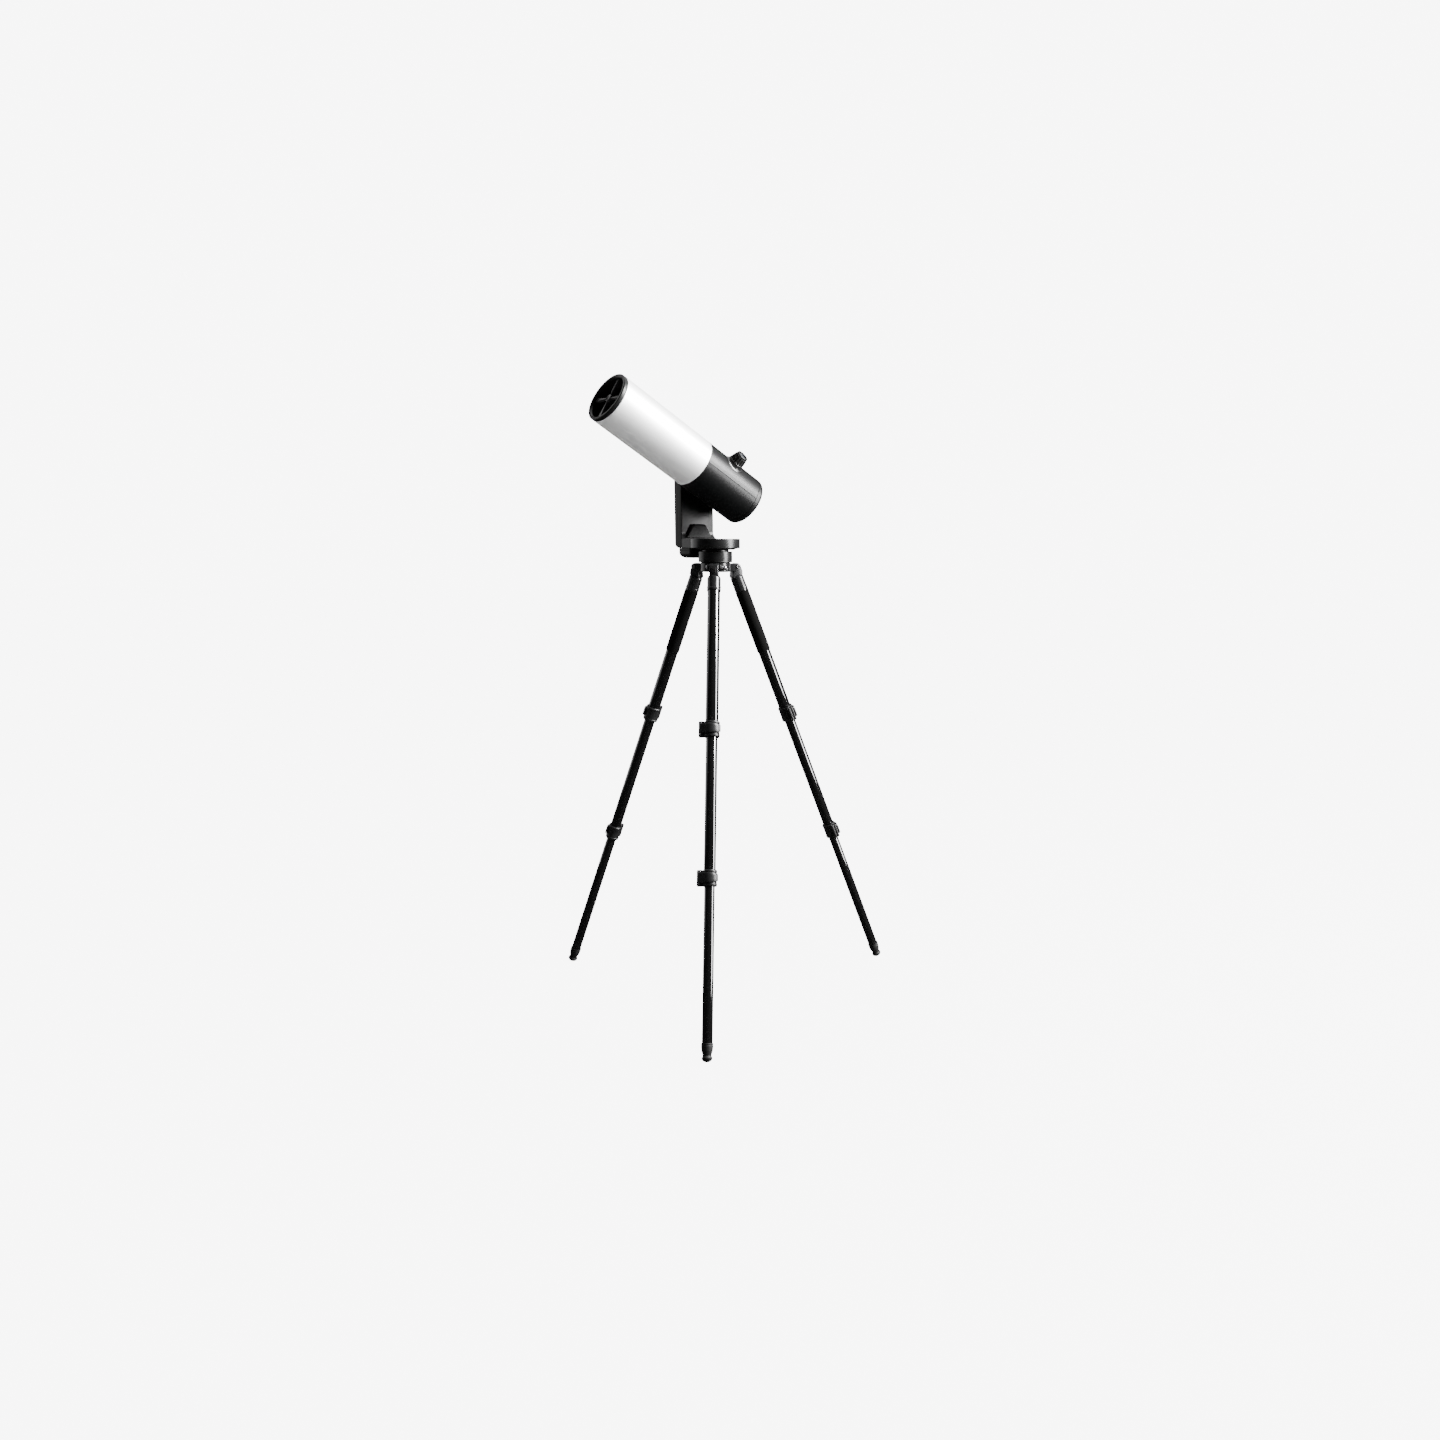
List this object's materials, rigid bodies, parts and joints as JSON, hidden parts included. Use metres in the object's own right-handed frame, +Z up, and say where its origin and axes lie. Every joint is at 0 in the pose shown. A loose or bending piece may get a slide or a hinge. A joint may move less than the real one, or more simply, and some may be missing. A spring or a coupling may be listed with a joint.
{
  "type": "telescope on tripod",
  "caption": "Motorised reflecting telescope on a single fork arm, with a white open-ended tube, a black rear body and a side eyepiece, on a field tripod with sliding leg sections.",
  "frame": {"origin": "on the floor, in the middle of the rectangle that the whole part fills", "axes": "+Z up; the front leg points along -Y, the other two towards +X and -X with +Y; the tube points towards -X and -Y, and upwards"},
  "size_m": [0.9618, 0.8371, 1.7105],
  "materials": {
    "cast_black": "satin black enamel on cast alloy",
    "bright_bolt": "polished",
    "level_vial": "clear with a thin bright rim",
    "knob_black": "moulded, fine grain",
    "mount_black": "satin moulded",
    "leg_black": "gloss black anodised",
    "lock_black": "semi-gloss moulded",
    "foot_rubber": "matte",
    "grip_foam": "closed-cell foam",
    "bearing_metal": "machined",
    "button_metal": "satin",
    "ring_black": "semi-gloss",
    "tube_white": "satin white enamel",
    "body_black": "satin moulded",
    "inner_black": "matte",
    "mirror": "polished",
    "spindle_black": "satin anodised",
    "eyepiece_black": "satin anodised",
    "diopter_rubber": "knurled"
  },
  "bodies": {
    "tripod_head": {"shoulder_casting": "cast_black", "bubble_level": "level_vial", "front_hinge_bolt": "bright_bolt", "left_hinge_bolt": "bright_bolt", "right_hinge_bolt": "bright_bolt", "pedestal": "mount_black"},
    "pedestal_lock_screw": {"pedestal_lock_screw": "knob_black"},
    "front_upper_leg": {"front_leg_collar": "cast_black", "front_upper_tube": "leg_black", "front_upper_lock": "lock_black"},
    "front_middle_leg": {"front_middle_tube": "leg_black", "front_lower_lock": "lock_black"},
    "front_lower_leg": {"front_lower_tube": "leg_black", "front_foot": "foot_rubber"},
    "front_angle_stop": {"front_angle_stop": "knob_black"},
    "front_upper_lever": {"front_upper_lever": "lock_black"},
    "front_lower_lever": {"front_lower_lever": "lock_black"},
    "left_upper_leg": {"left_leg_collar": "cast_black", "left_upper_tube": "leg_black", "left_upper_lock": "lock_black", "left_grip": "grip_foam"},
    "left_middle_leg": {"left_middle_tube": "leg_black", "left_lower_lock": "lock_black"},
    "left_lower_leg": {"left_lower_tube": "leg_black", "left_foot": "foot_rubber"},
    "left_angle_stop": {"left_angle_stop": "knob_black"},
    "left_upper_lever": {"left_upper_lever": "lock_black"},
    "left_lower_lever": {"left_lower_lever": "lock_black"},
    "right_upper_leg": {"right_leg_collar": "cast_black", "right_upper_tube": "leg_black", "right_upper_lock": "lock_black", "right_grip": "grip_foam"},
    "right_middle_leg": {"right_middle_tube": "leg_black", "right_lower_lock": "lock_black"},
    "right_lower_leg": {"right_lower_tube": "leg_black", "right_foot": "foot_rubber"},
    "right_angle_stop": {"right_angle_stop": "knob_black"},
    "right_upper_lever": {"right_upper_lever": "lock_black"},
    "right_lower_lever": {"right_lower_lever": "lock_black"},
    "mount": {"turntable": "mount_black", "arm_frame": "mount_black", "arm_cover": "mount_black", "arm_foot_cover": "mount_black", "battery_housing": "mount_black", "altitude_bearing": "bearing_metal"},
    "power_button": {"power_button": "button_metal"},
    "optical_tube": {"front_ring": "ring_black", "spider": "inner_black", "camera_sensor": "inner_black", "white_tube": "tube_white", "upper_shell": "body_black", "lower_shell": "body_black", "rear_cap": "body_black", "primary_mirror": "mirror", "mirror_cell": "inner_black", "altitude_spindle": "spindle_black", "eyepiece_collar": "body_black", "eyepiece_barrel": "eyepiece_black"},
    "diopter_ring": {"diopter_ring": "diopter_rubber"},
    "focus_knob": {"focus_knob": "knob_black"}
  },
  "joints": [
    {"name": "pedestal_lock_screw_turn", "type": "hinge", "parent": "tripod_head", "child": "pedestal_lock_screw", "pos_m": [0, 0.17741, 1.21368], "axis": [0, 1, 0], "range_deg": [0, 360]},
    {"name": "front_leg_fold", "type": "hinge", "parent": "tripod_head", "child": "front_upper_leg", "pos_m": [0, 0.07453, 1.21368], "axis": [1, 0, 0], "range_deg": [0, 20]},
    {"name": "front_angle_stop_slide", "type": "slide", "parent": "front_upper_leg", "child": "front_angle_stop", "axis": [0, -0.9272, 0.3746], "range_m": [0, 0.004]},
    {"name": "front_middle_slide", "type": "slide", "parent": "front_upper_leg", "child": "front_middle_leg", "axis": [0, -0.3746, -0.9272], "range_m": [-0.34, 0]},
    {"name": "front_lower_slide", "type": "slide", "parent": "front_middle_leg", "child": "front_lower_leg", "axis": [0, -0.3746, -0.9272], "range_m": [-0.34, 0]},
    {"name": "front_upper_lever_flip", "type": "hinge", "parent": "front_upper_leg", "child": "front_upper_lever", "pos_m": [-0.0275, -0.09998, 0.79378], "axis": [0, -0.3746, -0.9272], "range_deg": [0, 100]},
    {"name": "front_lower_lever_flip", "type": "hinge", "parent": "front_middle_leg", "child": "front_lower_lever", "pos_m": [-0.02575, -0.24754, 0.42856], "axis": [0, -0.3746, -0.9272], "range_deg": [0, 100]},
    {"name": "left_leg_fold", "type": "hinge", "parent": "tripod_head", "child": "left_upper_leg", "pos_m": [-0.05316, 0.16661, 1.21368], "axis": [-0.5, -0.866, 0], "range_deg": [0, 20]},
    {"name": "left_angle_stop_slide", "type": "slide", "parent": "left_upper_leg", "child": "left_angle_stop", "axis": [-0.803, 0.4636, 0.3746], "range_m": [0, 0.004]},
    {"name": "left_middle_slide", "type": "slide", "parent": "left_upper_leg", "child": "left_middle_leg", "axis": [-0.3244, 0.1873, -0.9272], "range_m": [-0.34, 0]},
    {"name": "left_lower_slide", "type": "slide", "parent": "left_middle_leg", "child": "left_lower_leg", "axis": [-0.3244, 0.1873, -0.9272], "range_m": [-0.34, 0]},
    {"name": "left_upper_lever_flip", "type": "hinge", "parent": "left_upper_leg", "child": "left_upper_lever", "pos_m": [-0.19054, 0.27768, 0.79378], "axis": [-0.3244, 0.1873, -0.9272], "range_deg": [0, 100]},
    {"name": "left_lower_lever_flip", "type": "hinge", "parent": "left_middle_leg", "child": "left_lower_lever", "pos_m": [-0.31921, 0.34994, 0.42856], "axis": [-0.3244, 0.1873, -0.9272], "range_deg": [0, 100]},
    {"name": "right_leg_fold", "type": "hinge", "parent": "tripod_head", "child": "right_upper_leg", "pos_m": [0.05316, 0.16661, 1.21368], "axis": [-0.5, 0.866, 0], "range_deg": [0, 20]},
    {"name": "right_angle_stop_slide", "type": "slide", "parent": "right_upper_leg", "child": "right_angle_stop", "axis": [0.803, 0.4636, 0.3746], "range_m": [0, 0.004]},
    {"name": "right_middle_slide", "type": "slide", "parent": "right_upper_leg", "child": "right_middle_leg", "axis": [0.3244, 0.1873, -0.9272], "range_m": [-0.34, 0]},
    {"name": "right_lower_slide", "type": "slide", "parent": "right_middle_leg", "child": "right_lower_leg", "axis": [0.3244, 0.1873, -0.9272], "range_m": [-0.34, 0]},
    {"name": "right_upper_lever_flip", "type": "hinge", "parent": "right_upper_leg", "child": "right_upper_lever", "pos_m": [0.21804, 0.23005, 0.79378], "axis": [0.3244, 0.1873, -0.9272], "range_deg": [0, 100]},
    {"name": "right_lower_lever_flip", "type": "hinge", "parent": "right_middle_leg", "child": "right_lower_lever", "pos_m": [0.34496, 0.30534, 0.42856], "axis": [0.3244, 0.1873, -0.9272], "range_deg": [0, 100]},
    {"name": "azimuth_turn", "type": "hinge", "parent": "tripod_head", "child": "mount", "pos_m": [0, 0.13592, 1.2607], "axis": [0, 0, 1], "continuous": true},
    {"name": "power_button_press", "type": "slide", "parent": "mount", "child": "power_button", "axis": [0.6293, -0.7771, 0], "range_m": [0, 0.0012], "stiffness_N_per_m": 400},
    {"name": "altitude_turn", "type": "hinge", "parent": "mount", "child": "optical_tube", "pos_m": [0, 0.13592, 1.4549], "axis": [-0.6293, 0.7771, 0], "range_deg": [-30.5, 59.5]},
    {"name": "diopter_turn", "type": "hinge", "parent": "optical_tube", "child": "diopter_ring", "pos_m": [0.00603, 0.1408, 1.45033], "axis": [0.7142, -0.2826, 0.6403], "range_deg": [-60, 60]},
    {"name": "focus_turn", "type": "hinge", "parent": "optical_tube", "child": "focus_knob", "pos_m": [0.08404, 0.20397, 1.3912], "axis": [-0.6696, -0.5422, 0.5075], "range_deg": [-360, 360]}
  ]
}
